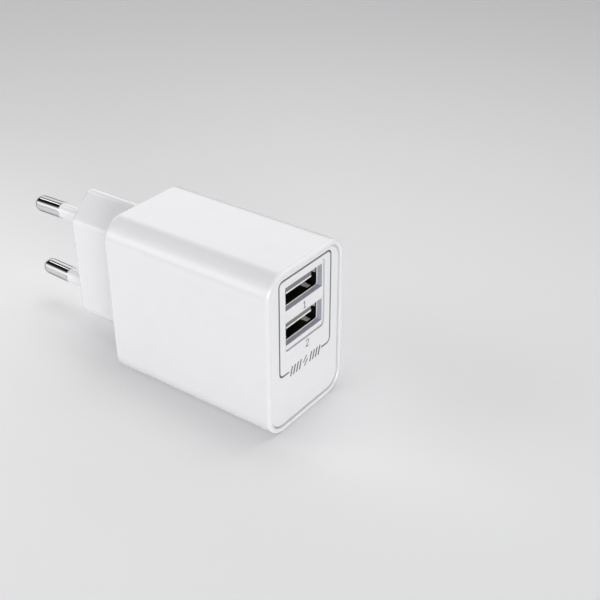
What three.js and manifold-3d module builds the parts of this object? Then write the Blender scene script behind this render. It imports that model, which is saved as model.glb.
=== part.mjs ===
// Dual USB wall charger with a flat two-pin Europlug, built as an assembly.
// Millimetres. +Z is up, the USB face looks along -Y, the plug pins point along +Y.
// The origin is the centre of the whole object's box, on the face that it stands on.

import * as THREE from 'three';
import { mergeVertices } from 'three/addons/utils/BufferGeometryUtils.js';
import Module from 'manifold-3d';

const wasm = await Module();
wasm.setup();

// ---------------------------------------------------------------- driving dimensions

// Case: an upright sleeve with a rounded outline, open at both ends.
const caseWidth = 27;
const caseLength = 44.8;
const caseHeight = 39.4;
const caseCornerRadius = 5.35;
const caseWall = 1.8;
const rimWidth = 1.2; // thickness of the case edge round each end cover
const rimRound = 0.6;
const cornerSegments = 6;
const cutBeyond = 1; // how far a cutting shape stands out of the body that it cuts
const jointOverlap = 0.5; // how far shapes run into each other where they are joined

// End covers: plates that sit inside the rim.
const coverThickness = 2;
const coverInset = 0.35; // how far a cover lies behind the rim
const coverEdgeRound = 0.4;
const coverGap = 0.25; // gap between a cover and the rim round it
const restGap = 0.3; // gap between faces that rest on each other
const skirtDepth = 3;
const skirtThickness = 1;

// Europlug to EN 50075.
const plugLength = 17.8;
const plugHeight = 35.3;
const plugWidth = 13.5;
const plugTopFlat = 2; // width left between the two 45 degree flanks
const plugCornerRadius = 1.6;
const plugEdgeRound = 0.8;
const plugFootRadius = 0.9; // hollow fillet between the plug and the rear cover
const plugEndWall = 3;
const plugBossDepth = 6;
const plugCavityWidth = 7.5;
const plugCavityHeight = 27;
const plugCavityRadius = 1.5;
const plugBossOverlap = 0.1; // how far a boss runs into the cavity's side walls
const plugWebThickness = 1.6;
const pinLength = 19;
const pinRadius = 2;
const pinCoreRadius = 1.5;
const pinInnerLength = 14;
const pinPitchAtPlug = 18.6;
const pinPitchAtTips = 17.5;
const sleeveLength = 10;
const sleeveRadius = 1.85;
const sleeveBore = 1.6;
const collarLength = 3.4; // thicker foot of the insulating sleeve
const collarRadius = 2.08;
const pinBoreRadius = 2.25;
const pinDishRadius = 3.6; // shallow dish round each pin
const pinDishDepth = 0.8;
const roundSegments = 20;

// USB-A sockets, lying flat, one above the other.
const socketWidth = 12.4; // inside the shell
const socketHeight = 5.02;
const socketSheet = 0.2;
const socketCornerRadius = 0.4; // inside the shell
const socketLength = 13.2;
const socketClearance = 0.05; // round the shell where it enters the front cover
const socketSetback = 1.2; // from the floor of the recess to the shell's front edge
const upperSocketZ = 31.9;
const socketPitch = 8.45;
const tongueWidth = 8.8;
const tongueThickness = 1.84;
const tongueSetback = 0.2; // from the shell's front edge to the tongue's
const tongueChamfer = 0.12;
const tongueBlockDepth = 2;
const contactXs = [-3.5, -1, 1, 3.5];
const contactWidth = 1;
const contactThickness = 0.2;
const contactTipSetback = 0.5; // from the tongue's front edge to the contact's
const contactGap = 0.05; // between a contact and the tongue above it

// Front face: shallow recess round both sockets, and a thin line that frames it.
const recessWidth = 14.1;
const recessBottomZ = 19.4;
const recessTopZ = 36;
const recessRadius = 1.1;
const recessDepth = 0.4;
const frameWidth = 18.2;
const frameBottomZ = 14;
const frameTopZ = 37;
const frameRadius = 1.2;
const frameLine = 0.36; // width of the line
const frameGrooveDepth = 0.35;
const frameInlayDepth = 0.3;
const frameOpening = 11.9; // gap in the bottom of the line
const inlayGap = 0.04;

// Circuit boards.
const boardThickness = 1.6;
const usbBoardThickness = 1.2;
const boardClearance = 0.4; // from the USB board to the case wall
const mainBoardX = 7.3; // component side of the main board
const mainBoardBottomZ = 4;
const mainBoardTopZ = 35.4;
const leadRadius = 0.3;
const leadHoleRadius = 0.5;
const leadTail = 0.5; // how far a lead stands out of the solder side
const solderSideGap = 0.05;
const partStandOff = 0.2; // how far a part's foot stands off the component side
const leadShare = 0.44; // lead spacing of a can, as a share of its diameter

// ---------------------------------------------------------------- places worked out

const frontY = -(caseLength + plugLength + pinLength) / 2;
const rearY = frontY + caseLength;
const plugFaceY = rearY + plugLength;
const middleZ = caseHeight / 2;
const frontFaceY = frontY + coverInset;
const frontInsideY = frontFaceY + coverThickness;
const rearFaceY = rearY - coverInset;
const rearInsideY = rearFaceY - coverThickness;
const recessFloorY = frontFaceY + recessDepth;
const shellFrontY = recessFloorY + socketSetback;
const shellRearY = shellFrontY + socketLength;
const usbBoardFrontY = shellRearY + restGap;
const usbBoardRearY = usbBoardFrontY + usbBoardThickness;
const mainBoardFrontY = usbBoardRearY + restGap;
const mainBoardRearY = rearInsideY - restGap;
const solderX = mainBoardX + boardThickness;
const socketZs = { upper: upperSocketZ, lower: upperSocketZ - socketPitch };
const pinTilt = Math.atan((pinPitchAtPlug - pinPitchAtTips) / 2 / pinLength);

// ---------------------------------------------------------------- shape helpers

function roundedRectangle(width, height, radius) {
  const x = width / 2 - radius;
  const y = height / 2 - radius;
  const shape = new THREE.Shape();
  shape.absarc(x, y, radius, 0, Math.PI / 2);
  shape.absarc(-x, y, radius, Math.PI / 2, Math.PI);
  shape.absarc(-x, -y, radius, Math.PI, 1.5 * Math.PI);
  shape.absarc(x, -y, radius, 1.5 * Math.PI, 2 * Math.PI);
  return shape;
}

function withHole(shape, hole) {
  shape.holes.push(hole);
  return shape;
}

// A polygon whose corners are each replaced by a smooth curve of about the given radius.
function roundedPolygon(corners, radius) {
  const shape = new THREE.Shape();
  corners.forEach((corner, index) => {
    const before = corners[(index + corners.length - 1) % corners.length];
    const after = corners[(index + 1) % corners.length];
    const back = before.clone().sub(corner).normalize();
    const onward = after.clone().sub(corner).normalize();
    const halfAngle = Math.acos(back.dot(onward)) / 2;
    const reach = radius / Math.tan(halfAngle);
    const start = corner.clone().addScaledVector(back, reach);
    const end = corner.clone().addScaledVector(onward, reach);
    if (index === 0) {
      shape.moveTo(start.x, start.y);
    } else {
      shape.lineTo(start.x, start.y);
    }
    shape.quadraticCurveTo(corner.x, corner.y, end.x, end.y);
  });
  shape.closePath();
  return shape;
}

// Extrudes an (x, z) outline between two places along Y, with optional rounded ends.
function slabAlongY(shape, yLow, yHigh, round = 0, curveSegments = cornerSegments) {
  const geometry = new THREE.ExtrudeGeometry(shape, {
    depth: yHigh - yLow - 2 * round,
    bevelEnabled: round > 0,
    bevelThickness: round,
    bevelSize: round,
    bevelOffset: -round,
    bevelSegments: 2,
    curveSegments,
  });
  geometry.rotateX(Math.PI / 2);
  geometry.translate(0, yHigh - round, 0);
  return geometry;
}

// Extrudes a (y, z) outline between two places along X.
function slabAlongX(shape, xLow, xHigh) {
  const geometry = new THREE.ExtrudeGeometry(shape, {
    depth: xHigh - xLow,
    bevelEnabled: false,
  });
  const turn = new THREE.Matrix4().makeBasis(
    new THREE.Vector3(0, 1, 0),
    new THREE.Vector3(0, 0, 1),
    new THREE.Vector3(1, 0, 0),
  );
  geometry.applyMatrix4(turn);
  geometry.translate(xLow, 0, 0);
  return geometry;
}

function outline(points) {
  return new THREE.Shape(points.map(([first, second]) => new THREE.Vector2(first, second)));
}

function block(xLow, xHigh, yLow, yHigh, zLow, zHigh) {
  const geometry = new THREE.BoxGeometry(xHigh - xLow, yHigh - yLow, zHigh - zLow);
  geometry.translate((xLow + xHigh) / 2, (yLow + yHigh) / 2, (zLow + zHigh) / 2);
  return geometry;
}

// A solid of revolution round Y, from (radius, y) points.
function turned(points, segments = roundSegments) {
  return new THREE.LatheGeometry(
    points.map(([radius, y]) => new THREE.Vector2(radius, y)),
    segments,
  );
}

// A round bar between two places along X.
function barAlongX(radius, xLow, xHigh, y, z, segments = 8) {
  const geometry = new THREE.CylinderGeometry(radius, radius, xHigh - xLow, segments);
  geometry.rotateZ(Math.PI / 2);
  geometry.translate((xLow + xHigh) / 2, y, z);
  return geometry;
}

function barAlongZ(radius, zLow, zHigh, x, y, segments = 8) {
  const geometry = new THREE.CylinderGeometry(radius, radius, zHigh - zLow, segments);
  geometry.rotateX(Math.PI / 2);
  geometry.translate(x, y, (zLow + zHigh) / 2);
  return geometry;
}

function solidOf(geometry) {
  const bare = geometry.clone();
  bare.deleteAttribute('normal');
  bare.deleteAttribute('uv');
  const merged = mergeVertices(bare, 1e-4);
  const mesh = new wasm.Mesh({
    numProp: 3,
    vertProperties: new Float32Array(merged.attributes.position.array),
    triVerts: new Uint32Array(merged.index.array),
  });
  return new wasm.Manifold(mesh);
}

function geometryOf(solid) {
  const mesh = solid.getMesh();
  const geometry = new THREE.BufferGeometry();
  geometry.setAttribute('position', new THREE.BufferAttribute(mesh.vertProperties, 3));
  geometry.setIndex(new THREE.BufferAttribute(mesh.triVerts, 1));
  return geometry;
}

function join(first, ...others) {
  return geometryOf(others.reduce((whole, piece) => whole.add(solidOf(piece)), solidOf(first)));
}

function cut(body, ...tools) {
  return geometryOf(tools.reduce((rest, tool) => rest.subtract(solidOf(tool)), solidOf(body)));
}

// ---------------------------------------------------------------- assembly helpers

const charger = new THREE.Group();

const finishes = {
  whiteCase: { color: 0xf1f1f3, roughness: 0.32, metalness: 0 },
  greyInk: { color: 0x7a7a7c, roughness: 0.5, metalness: 0 },
  nickel: { color: 0xd2d0ca, roughness: 0.22, metalness: 1 },
  chrome: { color: 0xe6e6e6, roughness: 0.06, metalness: 1 },
  sleeveWhite: { color: 0xe9e9ee, roughness: 0.4, metalness: 0 },
  socketInsulator: { color: 0xdcdcdc, roughness: 0.5, metalness: 0 },
  gold: { color: 0xd9b25a, roughness: 0.25, metalness: 1 },
  boardGreen: { color: 0x2f6b45, roughness: 0.6, metalness: 0 },
  ferrite: { color: 0x3a3a3c, roughness: 0.8, metalness: 0 },
  bobbinBlack: { color: 0x1d1d1f, roughness: 0.6, metalness: 0 },
  windingTape: { color: 0xd8b53c, roughness: 0.5, metalness: 0 },
  capacitorSleeve: { color: 0x23304a, roughness: 0.4, metalness: 0 },
  ceramicBlue: { color: 0x3f6fb0, roughness: 0.5, metalness: 0 },
  resistorGrey: { color: 0x8fa0a8, roughness: 0.6, metalness: 0 },
  epoxyBlack: { color: 0x18181a, roughness: 0.55, metalness: 0 },
  bronze: { color: 0xb8884c, roughness: 0.3, metalness: 1 },
  clearFilm: { color: 0xe8eef0, roughness: 0.2, metalness: 0 },
};

function addPart(name, geometry, finish, parent = charger) {
  const mesh = new THREE.Mesh(geometry, new THREE.MeshStandardMaterial(finish));
  mesh.name = name;
  parent.add(mesh);
  return mesh;
}

// ---------------------------------------------------------------- case shell

// The case outline, moved inwards by the given distance.
function caseOutline(inwards) {
  return roundedRectangle(
    caseWidth - 2 * inwards,
    caseHeight - 2 * inwards,
    caseCornerRadius - inwards,
  );
}

function makeCaseShell() {
  const seat = caseOutline(rimWidth);
  const outside = slabAlongY(caseOutline(0), frontY, rearY, rimRound);
  const bore = slabAlongY(caseOutline(caseWall), frontY - cutBeyond, rearY + cutBeyond);
  const frontSeat = slabAlongY(seat, frontY - cutBeyond, frontInsideY + restGap);
  const rearSeat = slabAlongY(seat, rearInsideY - restGap, rearY + cutBeyond);
  const shell = cut(outside, bore, frontSeat, rearSeat);
  shell.translate(0, 0, middleZ);
  return shell;
}

addPart('case_shell', makeCaseShell(), finishes.whiteCase);

// ---------------------------------------------------------------- front cover and its line

// The closed loop of the framing line, widened by the given amount on both edges.
function frameLoop(widened) {
  const height = frameTopZ - frameBottomZ;
  const outer = frameLine / 2 + widened;
  const loop = roundedRectangle(
    frameWidth + 2 * outer,
    height + 2 * outer,
    frameRadius + outer,
  );
  const inner = roundedRectangle(
    frameWidth - 2 * outer,
    height - 2 * outer,
    frameRadius - outer,
  );
  return withHole(loop, inner);
}

function makeFrameLine(yLow, yHigh, widened) {
  const loop = slabAlongY(frameLoop(widened), yLow, yHigh, 0, 6);
  loop.translate(0, 0, (frameTopZ + frameBottomZ) / 2);
  const halfOpening = frameOpening / 2 - widened;
  const reach = frameLine + widened;
  const opening = block(
    -halfOpening,
    halfOpening,
    yLow - cutBeyond,
    yHigh + cutBeyond,
    frameBottomZ - reach,
    frameBottomZ + reach,
  );
  return cut(loop, opening);
}

function makeFrontPanel() {
  const plate = slabAlongY(
    caseOutline(rimWidth + coverGap),
    frontFaceY,
    frontInsideY,
    coverEdgeRound,
  );
  const skirtInset = caseWall + coverGap;
  const skirt = slabAlongY(
    withHole(caseOutline(skirtInset), caseOutline(skirtInset + skirtThickness)),
    frontInsideY - coverEdgeRound,
    frontInsideY + skirtDepth,
  );
  const body = join(plate, skirt);
  body.translate(0, 0, middleZ);
  const recess = slabAlongY(
    roundedRectangle(recessWidth, recessTopZ - recessBottomZ, recessRadius),
    frontFaceY - cutBeyond,
    recessFloorY,
    0,
    6,
  );
  recess.translate(0, 0, (recessTopZ + recessBottomZ) / 2);
  const halfWidth = socketWidth / 2 + socketSheet + socketClearance;
  const halfHeight = socketHeight / 2 + socketSheet + socketClearance;
  const through = [frontFaceY - cutBeyond, frontInsideY + cutBeyond];
  const openings = Object.values(socketZs).map((z) =>
    block(-halfWidth, halfWidth, ...through, z - halfHeight, z + halfHeight),
  );
  const groove = makeFrameLine(frontFaceY - cutBeyond, frontFaceY + frameGrooveDepth, inlayGap);
  return cut(body, recess, groove, ...openings);
}

addPart('front_panel', makeFrontPanel(), finishes.whiteCase);

addPart(
  'panel_outline_inlay',
  makeFrameLine(
    frontFaceY + frameGrooveDepth - frameInlayDepth - inlayGap,
    frontFaceY + frameGrooveDepth - inlayGap,
    0,
  ),
  finishes.greyInk,
);

// ---------------------------------------------------------------- USB sockets

// Slots cut beside each spring tab, so that the tab stays joined at its rear end.
function tabSlots(z) {
  const tabLength = 5;
  const tabWidth = 1.8;
  const slotWidth = 0.4;
  const tabX = 2.9;
  const tabSetback = 2.2; // from the shell's front edge to the tab
  const tabFrontY = shellFrontY + tabSetback;
  const slots = [];
  for (const x of [-tabX, tabX]) {
    for (const side of [-1, 1]) {
      const edgeX = x + side * (tabWidth / 2 + slotWidth / 2);
      slots.push(
        block(
          edgeX - slotWidth / 2,
          edgeX + slotWidth / 2,
          tabFrontY,
          tabFrontY + tabLength,
          z - socketHeight,
          z + socketHeight,
        ),
      );
    }
    slots.push(
      block(
        x - tabWidth / 2 - slotWidth / 2,
        x + tabWidth / 2 + slotWidth / 2,
        tabFrontY - slotWidth,
        tabFrontY + slotWidth / 4,
        z - socketHeight,
        z + socketHeight,
      ),
    );
  }
  return slots;
}

function makeSocketShell(z) {
  const inner = roundedRectangle(socketWidth, socketHeight, socketCornerRadius);
  const outer = roundedRectangle(
    socketWidth + 2 * socketSheet,
    socketHeight + 2 * socketSheet,
    socketCornerRadius + socketSheet,
  );
  const tube = slabAlongY(withHole(outer, inner), shellFrontY, shellRearY, 0, 3);
  tube.translate(0, 0, z);
  return cut(tube, ...tabSlots(z));
}

function makeTongue(z) {
  const clearance = 0.1;
  const tipY = shellFrontY + tongueSetback;
  const blockFrontY = shellRearY - tongueBlockDepth;
  const rootY = blockFrontY + jointOverlap;
  const tongueProfile = outline([
    [tipY + tongueChamfer, z],
    [rootY, z],
    [rootY, z + tongueThickness],
    [tipY + tongueChamfer, z + tongueThickness],
    [tipY, z + tongueThickness - tongueChamfer],
    [tipY, z + tongueChamfer],
  ]);
  const tongue = slabAlongX(tongueProfile, -tongueWidth / 2, tongueWidth / 2);
  const rearBlock = block(
    -socketWidth / 2 + clearance,
    socketWidth / 2 - clearance,
    blockFrontY,
    shellRearY,
    z - socketHeight / 2 + clearance,
    z + socketHeight / 2 - clearance,
  );
  const slots = contactXs.map((x) =>
    block(
      x - contactWidth / 2 - clearance,
      x + contactWidth / 2 + clearance,
      blockFrontY - cutBeyond,
      shellRearY + cutBeyond,
      z - 2 * contactThickness,
      z,
    ),
  );
  return cut(join(tongue, rearBlock), ...slots);
}

// A flat strip under the tongue, with one bowed stretch that presses on the plug's contact.
function makeContact(x, z) {
  const tipY = shellFrontY + tongueSetback + contactTipSetback;
  const tailY = usbBoardRearY + leadTail;
  const top = z - contactGap;
  const bow = 0.35;
  const halfBowLength = 1;
  const upperEdge = [
    [tipY, top],
    [tipY + halfBowLength, top - bow],
    [tipY + 2 * halfBowLength, top],
    [tailY, top],
  ];
  const lowerEdge = upperEdge.map(([y, height]) => [y, height - contactThickness]).reverse();
  const profile = outline([...upperEdge, ...lowerEdge]);
  return slabAlongX(profile, x - contactWidth / 2, x + contactWidth / 2);
}

for (const [place, z] of Object.entries(socketZs)) {
  addPart(`usb_shell_${place}`, makeSocketShell(z), finishes.nickel);
  addPart(`usb_tongue_${place}`, makeTongue(z), finishes.socketInsulator);
  contactXs.forEach((x, index) => {
    addPart(`usb_contact_${place}_${index + 1}`, makeContact(x, z), finishes.gold);
  });
}

// ---------------------------------------------------------------- rear cover with the plug

// The plug's section: tall and flat, with 45 degree flanks, grown by the given distance.
function plugOutline(grown) {
  const halfTop = plugTopFlat / 2 + grown * Math.tan(Math.PI / 8);
  const halfWidth = plugWidth / 2 + grown;
  const halfHeight = plugHeight / 2 + grown;
  const shoulder = halfHeight - (halfWidth - halfTop);
  const corners = [
    [halfTop, halfHeight],
    [-halfTop, halfHeight],
    [-halfWidth, shoulder],
    [-halfWidth, -shoulder],
    [-halfTop, -halfHeight],
    [halfTop, -halfHeight],
    [halfWidth, -shoulder],
    [halfWidth, shoulder],
  ].map(([x, z]) => new THREE.Vector2(x, z));
  return roundedPolygon(corners, plugCornerRadius);
}

// Thin slabs that follow the hollow fillet between the plug and its plate.
function plugFoot() {
  const steps = 3;
  const slabs = [];
  for (let step = 0; step < steps; step += 1) {
    const height = ((step + 1) * plugFootRadius) / steps;
    const drop = plugFootRadius - (height - plugFootRadius / steps / 2);
    const grown = plugFootRadius - Math.sqrt(plugFootRadius ** 2 - drop ** 2);
    const startY = rearFaceY - jointOverlap;
    slabs.push(slabAlongY(plugOutline(grown), startY, rearFaceY + height, 0, 4));
  }
  return slabs;
}

// A tool shape round one pin's axis, which leans as the pin does.
function alongPin(geometry, side) {
  geometry.rotateX(-side * pinTilt);
  geometry.translate(0, plugFaceY, (side * pinPitchAtPlug) / 2);
  return geometry;
}

// A thick ring of plastic that holds a pin inside the plug; places count from the plug's face.
function makePinBoss() {
  const back = -plugEndWall - plugBossDepth;
  const front = -plugEndWall + 2 * jointOverlap;
  const radius = plugCavityWidth / 2 + plugBossOverlap;
  return turned([[0, back], [radius, back], [radius, front], [0, front]], 16);
}

// The bore for a pin, with the shallow dish at its mouth.
function makePinBore() {
  const back = -plugEndWall - plugBossDepth - cutBeyond;
  const dishSlope = 0.5;
  return turned([
    [0, back],
    [pinBoreRadius, back],
    [pinBoreRadius, -pinDishDepth],
    [pinDishRadius - dishSlope, -pinDishDepth],
    [pinDishRadius, 0],
    [pinDishRadius, cutBeyond],
    [0, cutBeyond],
  ]);
}

function makeRearCover() {
  const plate = slabAlongY(
    caseOutline(rimWidth + coverGap),
    rearInsideY,
    rearFaceY,
    coverEdgeRound,
  );
  const plugRootY = rearInsideY + jointOverlap;
  const plug = slabAlongY(plugOutline(0), plugRootY, plugFaceY, plugEdgeRound, 4);
  const body = join(plate, plug, ...plugFoot());
  const cavityEndY = plugFaceY - plugEndWall;
  const cavity = slabAlongY(
    roundedRectangle(plugCavityWidth, plugCavityHeight, plugCavityRadius),
    rearInsideY - cutBeyond,
    cavityEndY,
    0,
    3,
  );
  const hollow = cut(body, cavity);
  const bossStartY = cavityEndY - plugBossDepth;
  const webReach = plugCavityWidth / 2 + jointOverlap;
  const web = block(
    -webReach,
    webReach,
    bossStartY,
    cavityEndY + jointOverlap,
    -plugWebThickness / 2,
    plugWebThickness / 2,
  );
  const bosses = [-1, 1].map((side) => alongPin(makePinBoss(), side));
  const bores = [-1, 1].map((side) => alongPin(makePinBore(), side));
  const cover = cut(join(hollow, web, ...bosses), ...bores);
  cover.translate(0, 0, middleZ);
  return cover;
}

addPart('rear_plug_cover', makeRearCover(), finishes.whiteCase);

// ---------------------------------------------------------------- plug pins and sleeves

function makePin() {
  const flangeRadius = 2.6; // the flange rests behind the boss
  const flangeThickness = 1;
  const flangeGap = 0.6;
  const sleeveGap = 0.05;
  const shoulderRound = 0.1;
  const flangeEnd = -plugEndWall - plugBossDepth - flangeGap;
  const flangeStart = flangeEnd - flangeThickness;
  const shoulder = sleeveLength + sleeveGap;
  const profile = [
    [0, -pinInnerLength],
    [pinCoreRadius, -pinInnerLength],
    [pinCoreRadius, flangeStart],
    [flangeRadius, flangeStart],
    [flangeRadius, flangeEnd],
    [pinCoreRadius, flangeEnd],
    [pinCoreRadius, shoulder],
    [pinRadius - shoulderRound, shoulder],
    [pinRadius, shoulder + shoulderRound],
  ];
  const steps = 5;
  const noseCentre = pinLength - pinRadius;
  for (let step = 0; step < steps; step += 1) {
    const angle = (step / steps) * (Math.PI / 2);
    profile.push([pinRadius * Math.cos(angle), noseCentre + pinRadius * Math.sin(angle)]);
  }
  profile.push([0, pinLength]);
  return turned(profile);
}

function makeSleeve() {
  const inner = -plugEndWall;
  const step = 0.12; // height and length of the fine ring at the end of the collar
  return turned([
    [sleeveBore, inner],
    [collarRadius, inner],
    [collarRadius, collarLength - 2 * step],
    [collarRadius + step, collarLength - step],
    [collarRadius + step, collarLength],
    [sleeveRadius, collarLength + step],
    [sleeveRadius, sleeveLength],
    [sleeveBore, sleeveLength],
    [sleeveBore, inner],
  ]);
}

for (const [place, side] of [['upper', 1], ['lower', -1]]) {
  const pinAxis = new THREE.Group();
  pinAxis.position.set(0, plugFaceY, middleZ + (side * pinPitchAtPlug) / 2);
  pinAxis.rotation.x = -side * pinTilt;
  charger.add(pinAxis);
  addPart(`plug_pin_${place}`, makePin(), finishes.chrome, pinAxis);
  addPart(`pin_sleeve_${place}`, makeSleeve(), finishes.sleeveWhite, pinAxis);
}

// ---------------------------------------------------------------- pin springs

// A bent strip, soldered flat on the main board, that reaches into the plug and meets a pin.
function makePinSpring(z) {
  const sheet = 0.4;
  const width = 3;
  const footLength = 1.6;
  const footGap = 0.1; // solder between the foot and the board
  const coverClearance = 0.8; // from the crossing stretch to the rear cover
  const head = { halfWidth: 1, thickness: 0.5, taper: 0.5 };
  const footX = mainBoardX - footGap;
  const crossY = rearInsideY - coverClearance;
  const endY = plugFaceY - pinInnerLength - restGap;
  const headY = endY - head.thickness;
  const neckY = headY - head.taper;
  const path = outline([
    [footX, crossY - footLength],
    [footX, crossY],
    [sheet / 2, crossY],
    [sheet / 2, neckY],
    [head.halfWidth, headY],
    [head.halfWidth, endY],
    [-head.halfWidth, endY],
    [-head.halfWidth, headY],
    [-sheet / 2, neckY],
    [-sheet / 2, crossY - sheet],
    [footX - sheet, crossY - sheet],
    [footX - sheet, crossY - footLength],
  ]);
  const geometry = new THREE.ExtrudeGeometry(path, { depth: width, bevelEnabled: false });
  geometry.translate(0, 0, z - width / 2);
  return geometry;
}

addPart('pin_spring_upper', makePinSpring(middleZ + pinPitchAtPlug / 2), finishes.bronze);
addPart('pin_spring_lower', makePinSpring(middleZ - pinPitchAtPlug / 2), finishes.bronze);

// ---------------------------------------------------------------- parts on the main board

// Places on the board are (y, z); the parts stand towards -X.
const mainsCapacitors = [
  { y: -17.9, z: 6.8, diameter: 8, height: 14 },
  { y: -9.5, z: 6.8, diameter: 8, height: 14 },
];
const outputCapacitors = [
  { y: -17.1, z: 32.2, diameter: 8, height: 12 },
  { y: -8.6, z: 32.2, diameter: 6.3, height: 11 },
];
const yCapacitor = { x: 2.2, y: -4.7, z: 19.7, radius: 3.7, thickness: 2.8, leadSpacing: 5 };
const fuseResistor = { x: 4, y: -1.6, zLow: 25.6, zHigh: 32.8, radius: 1.5, leadBend: 1 };
const inductor = { y: -2.4, z: 6.2, radius: 2.4, height: 7, leadSpacing: 3 };
const linkHeader = {
  x: 5.9,
  y: mainBoardFrontY + 0.9,
  firstZ: 28,
  pitch: 2,
  count: 4,
  halfWidth: 1.2,
  halfDepth: 0.8,
  overhang: 1.1, // of the bar, beyond its end pins
};

function leadOffsets(spacing) {
  return [-spacing / 2, spacing / 2];
}

// Every (y, z) where a lead goes through the main board.
function leadPlaces() {
  const places = [];
  for (const part of [...mainsCapacitors, ...outputCapacitors]) {
    for (const offset of leadOffsets(part.diameter * leadShare)) {
      places.push([part.y, part.z + offset]);
    }
  }
  for (const offset of leadOffsets(yCapacitor.leadSpacing)) {
    places.push([yCapacitor.y, yCapacitor.z + offset]);
  }
  for (const offset of leadOffsets(inductor.leadSpacing)) {
    places.push([inductor.y, inductor.z + offset]);
  }
  const { y, zLow, zHigh, leadBend } = fuseResistor;
  places.push([y, zLow - leadBend], [y, zHigh + leadBend]);
  for (let index = 0; index < linkHeader.count; index += 1) {
    places.push([linkHeader.y, linkHeader.firstZ + index * linkHeader.pitch]);
  }
  return places;
}

function makeMainBoard() {
  const plain = block(
    mainBoardX,
    solderX,
    mainBoardFrontY,
    mainBoardRearY,
    mainBoardBottomZ,
    mainBoardTopZ,
  );
  const holes = leadPlaces().map(([y, z]) =>
    barAlongX(leadHoleRadius, mainBoardX - cutBeyond, solderX + cutBeyond, y, z),
  );
  return cut(plain, ...holes);
}

addPart('main_board', makeMainBoard(), finishes.boardGreen);

function makeLead(y, z, fromX) {
  return barAlongX(leadRadius, fromX, solderX + leadTail, y, z, 6);
}

// Turns an upright shape towards -X, stands it on the board and gives it two leads.
function standOnBoard(upright, y, z, leadSpacing) {
  const footX = mainBoardX - partStandOff;
  upright.rotateZ(Math.PI / 2);
  upright.translate(footX, y, z);
  const leads = leadOffsets(leadSpacing).map((offset) =>
    makeLead(y, z + offset, footX - jointOverlap),
  );
  return join(upright, ...leads);
}

// A can with a crimped groove near its foot, a rounded top and two leads.
function makeElectrolytic({ y, z, diameter, height }) {
  const radius = diameter / 2;
  const crimpHeight = 1.6;
  const crimp = 0.4; // depth of the groove, and half its length
  const topRound = 0.5;
  const can = turned([
    [0, 0],
    [radius, 0],
    [radius, crimpHeight - crimp],
    [radius - crimp, crimpHeight],
    [radius, crimpHeight + crimp],
    [radius, height - topRound],
    [radius - topRound, height],
    [0, height],
  ]);
  return standOnBoard(can, y, z, diameter * leadShare);
}

mainsCapacitors.forEach((part, index) => {
  addPart(`mains_capacitor_${index + 1}`, makeElectrolytic(part), finishes.capacitorSleeve);
});
outputCapacitors.forEach((part, index) => {
  addPart(`output_capacitor_${index + 1}`, makeElectrolytic(part), finishes.capacitorSleeve);
});

function makeYCapacitor() {
  const { x, y, z, radius, thickness, leadSpacing } = yCapacitor;
  const half = thickness / 2;
  const faceRadius = radius - 0.6;
  const profile = [[0, -half], [faceRadius, -half], [radius, 0], [faceRadius, half], [0, half]];
  const disc = turned(profile, 18);
  disc.translate(x, y, z);
  const leads = leadOffsets(leadSpacing).map((offset) => makeLead(y, z + offset, x + 1));
  return join(disc, ...leads);
}

addPart('y_capacitor', makeYCapacitor(), finishes.ceramicBlue);

function makeFuseResistor() {
  const { x, y, zLow, zHigh, radius, leadBend } = fuseResistor;
  const reach = leadBend + leadRadius;
  const body = barAlongZ(radius, zLow, zHigh, x, y, 14);
  const axialLead = barAlongZ(leadRadius, zLow - reach, zHigh + reach, x, y, 6);
  return join(body, axialLead, makeLead(y, zLow - leadBend, x), makeLead(y, zHigh + leadBend, x));
}

addPart('fuse_resistor', makeFuseResistor(), finishes.resistorGrey);

// A drum core with its winding held between two flanges.
function makeInductor() {
  const { y, z, radius, height, leadSpacing } = inductor;
  const flange = 1;
  const slope = 0.2;
  const windingRadius = radius - 0.5;
  const drum = turned(
    [
      [0, 0],
      [radius, 0],
      [radius, flange],
      [windingRadius, flange + slope],
      [windingRadius, height - flange - slope],
      [radius, height - flange],
      [radius, height],
      [0, height],
    ],
    16,
  );
  return standOnBoard(drum, y, z, leadSpacing);
}

addPart('input_inductor', makeInductor(), finishes.ferrite);

// A flat package on the solder side, with pairs of legs along its two long edges.
function makeChip({ y, z, length, width, height, legsPerSide, legPitch }) {
  const standOff = 0.1;
  const leg = { thickness: 0.3, halfWidth: 0.25, reach: width / 2 + 1 };
  const lowX = solderX + solderSideGap;
  const body = block(
    lowX + standOff,
    lowX + height,
    y - width / 2,
    y + width / 2,
    z - length / 2,
    z + length / 2,
  );
  const legs = [];
  for (let index = 0; index < legsPerSide; index += 1) {
    const legZ = z + (index - (legsPerSide - 1) / 2) * legPitch;
    legs.push(
      block(
        lowX,
        lowX + leg.thickness,
        y - leg.reach,
        y + leg.reach,
        legZ - leg.halfWidth,
        legZ + leg.halfWidth,
      ),
    );
  }
  return join(body, ...legs);
}

const controllerChip = {
  y: -12.6, z: 13, length: 4.9, width: 3.9, height: 1.6, legsPerSide: 4, legPitch: 1.27,
};
const bridgeRectifier = {
  y: -3, z: 13, length: 4.7, width: 3.9, height: 1.5, legsPerSide: 2, legPitch: 2.54,
};
const outputDiode = {
  y: -16, z: 24.6, length: 3.8, width: 4.6, height: 2.1, legsPerSide: 1, legPitch: 0,
};
addPart('controller_chip', makeChip(controllerChip), finishes.epoxyBlack);
addPart('bridge_rectifier', makeChip(bridgeRectifier), finishes.epoxyBlack);
addPart('output_diode', makeChip(outputDiode), finishes.epoxyBlack);

// ---------------------------------------------------------------- transformer

const transformer = {
  x: 1.8,
  frontY: mainBoardFrontY + 2.4,
  z: middleZ,
  halfLength: 7,
  width: 15.6,
  thickness: 4.8,
  centreLeg: 4.2,
  outerLeg: 2.2,
  back: 2.3,
  halfGap: 0.05, // between the meeting faces of the core halves and their middle plane
  boardGap: 0.2,
};

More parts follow.
